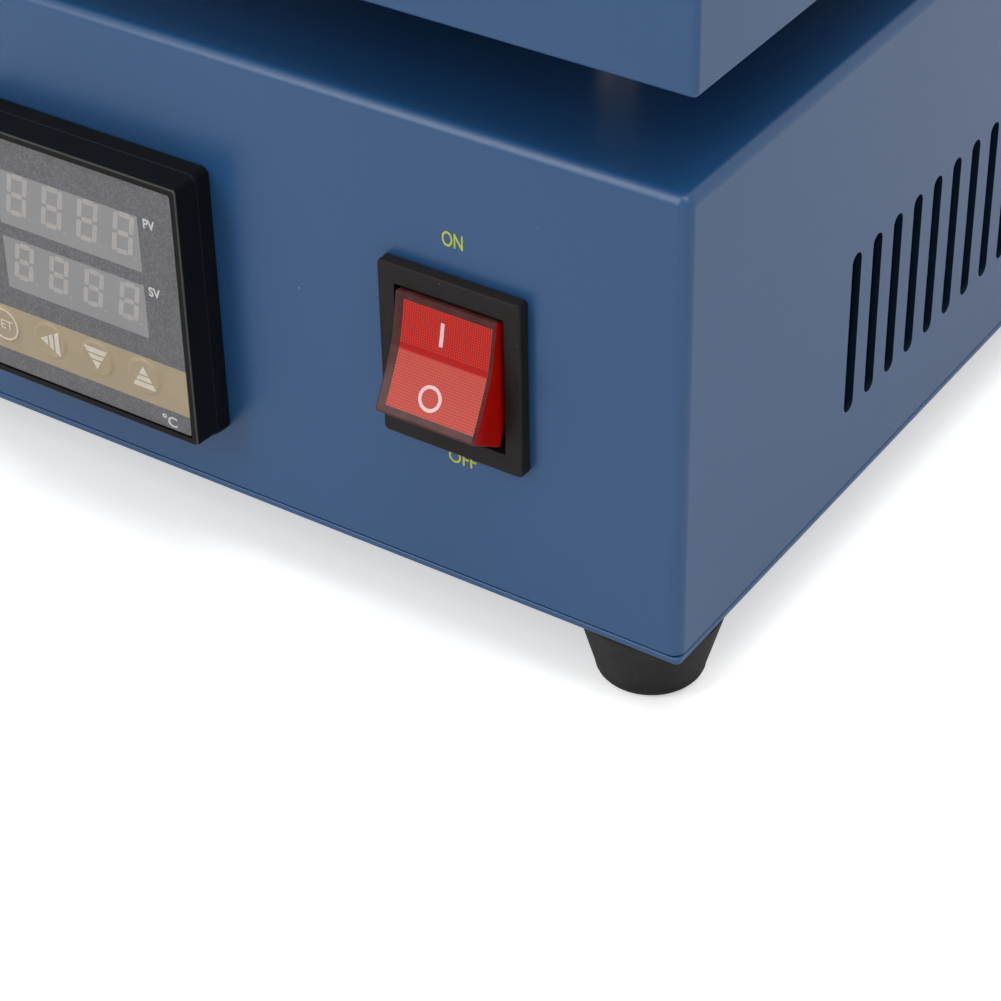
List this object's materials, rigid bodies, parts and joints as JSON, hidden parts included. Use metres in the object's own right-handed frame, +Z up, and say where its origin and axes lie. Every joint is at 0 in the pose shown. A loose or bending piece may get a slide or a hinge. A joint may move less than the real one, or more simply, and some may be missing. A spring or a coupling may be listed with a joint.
{
  "type": "pcb preheater",
  "caption": "Bench hot plate for preheating circuit boards: a guarded aluminium plate stands on posts above a vented sheet housing with a temperature controller and rocker switch.",
  "frame": {"origin": "on the standing surface, below the middle of the overall box", "axes": "+Z up, +Y towards the rear panel with the mains inlet, +X to the right seen from the front panel"},
  "size_m": [0.1828, 0.1948, 0.1459],
  "materials": {
    "blue_paint": "satin",
    "black_rubber": "matte",
    "zinc_steel": "satin",
    "post_steel": "satin",
    "plate_aluminium": "satin",
    "sheath_steel": "satin",
    "ceramic_fibre": "matte",
    "glass_sleeve": "matte",
    "white_ceramic": "satin",
    "black_plastic": "matte",
    "switch_plastic": "satin",
    "lens_film": "satin",
    "display_face": "satin",
    "circuit_board": "satin",
    "key_film": "satin",
    "laminated_core": "matte",
    "tinned_brass": "satin",
    "red_plastic": "gloss"
  },
  "bodies": {
    "preheater": {"control_housing": "blue_paint", "base_plate": "blue_paint", "guard_tray": "blue_paint", "foot_front_left": "black_rubber", "foot_front_right": "black_rubber", "foot_rear_left": "black_rubber", "foot_rear_right": "black_rubber", "foot_screw_front_left": "zinc_steel", "foot_screw_front_right": "zinc_steel", "foot_screw_rear_left": "zinc_steel", "foot_screw_rear_right": "zinc_steel", "standoff_front_left": "post_steel", "standoff_front_right": "post_steel", "standoff_rear_left": "post_steel", "standoff_rear_right": "post_steel", "plate_bolt_front_left": "zinc_steel", "plate_bolt_front_right": "zinc_steel", "plate_bolt_rear_left": "zinc_steel", "plate_bolt_rear_right": "zinc_steel", "insulation_board": "ceramic_fibre", "heating_plate": "plate_aluminium", "heater_cartridge_left": "sheath_steel", "heater_cartridge_right": "sheath_steel", "thermocouple_probe": "sheath_steel", "heater_lead_left": "glass_sleeve", "heater_lead_right": "glass_sleeve", "thermocouple_lead": "glass_sleeve", "tray_grommet": "black_rubber", "housing_grommet": "black_rubber", "terminal_block": "white_ceramic", "solid_state_relay": "black_plastic", "relay_screw_1": "zinc_steel", "relay_screw_2": "zinc_steel", "controller_bezel": "black_plastic", "controller_case": "black_plastic", "controller_lens": "lens_film", "pv_display": "display_face", "sv_display": "display_face", "display_board": "circuit_board", "main_board": "circuit_board", "transformer": "laminated_core", "rear_terminals": "black_plastic", "mounting_clip": "black_plastic", "switch_body": "switch_plastic", "switch_terminal_1": "tinned_brass", "switch_terminal_2": "tinned_brass", "switch_terminal_3": "tinned_brass", "switch_terminal_4": "tinned_brass", "inlet_body": "black_plastic", "inlet_pin_line": "tinned_brass", "inlet_pin_earth": "tinned_brass", "inlet_pin_neutral": "tinned_brass", "inlet_screw_left": "zinc_steel", "inlet_screw_right": "zinc_steel"},
    "rocker": {"switch_rocker": "red_plastic"},
    "set_key": {"key_set": "key_film"},
    "shift_key": {"key_shift": "key_film"},
    "down_key": {"key_down": "key_film"},
    "up_key": {"key_up": "key_film"}
  },
  "joints": [
    {"name": "rocker_turn", "type": "hinge", "parent": "preheater", "child": "rocker", "pos_m": [0.0505, -0.08683, 0.0552], "axis": [1, 0, 0], "range_deg": [0, 40.2]},
    {"name": "set_key_press", "type": "slide", "parent": "preheater", "child": "set_key", "axis": [0, 1, 0], "range_m": [0, 0.0004], "stiffness_N_per_m": 800},
    {"name": "shift_key_press", "type": "slide", "parent": "preheater", "child": "shift_key", "axis": [0, 1, 0], "range_m": [0, 0.0004], "stiffness_N_per_m": 800},
    {"name": "down_key_press", "type": "slide", "parent": "preheater", "child": "down_key", "axis": [0, 1, 0], "range_m": [0, 0.0004], "stiffness_N_per_m": 800},
    {"name": "up_key_press", "type": "slide", "parent": "preheater", "child": "up_key", "axis": [0, 1, 0], "range_m": [0, 0.0004], "stiffness_N_per_m": 800}
  ]
}
